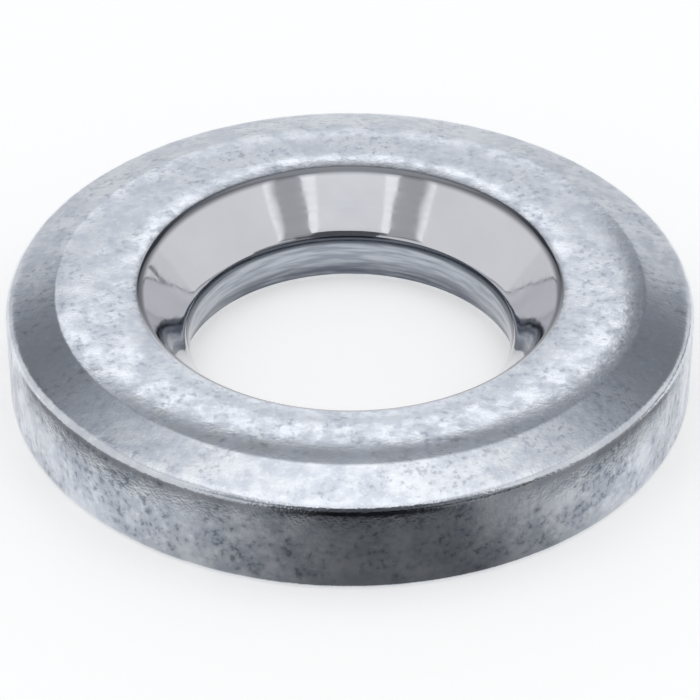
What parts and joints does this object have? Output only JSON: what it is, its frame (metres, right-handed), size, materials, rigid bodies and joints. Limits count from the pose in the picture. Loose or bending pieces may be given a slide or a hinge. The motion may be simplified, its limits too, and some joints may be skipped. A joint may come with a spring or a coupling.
{
  "type": "sealing ring",
  "caption": "Flat metal sealing ring with a shallow bevel round its outer top edge and a conical seat that narrows to a short clearance bore for a screw plug.",
  "frame": {"origin": "centre of the ring's flat underside, on the axis of the bore", "axes": "+Z along the axis, from the underside to the sealing face with the conical seat; the ring is round, so X and Y are free"},
  "size_m": [0.03, 0.03, 0.0049],
  "materials": {
    "aluminium": "tumbled satin grey with small pits, smoother and brighter on the pressed conical seat"
  },
  "bodies": {
    "root": {"sealing_ring": "aluminium"}
  },
  "joints": []
}
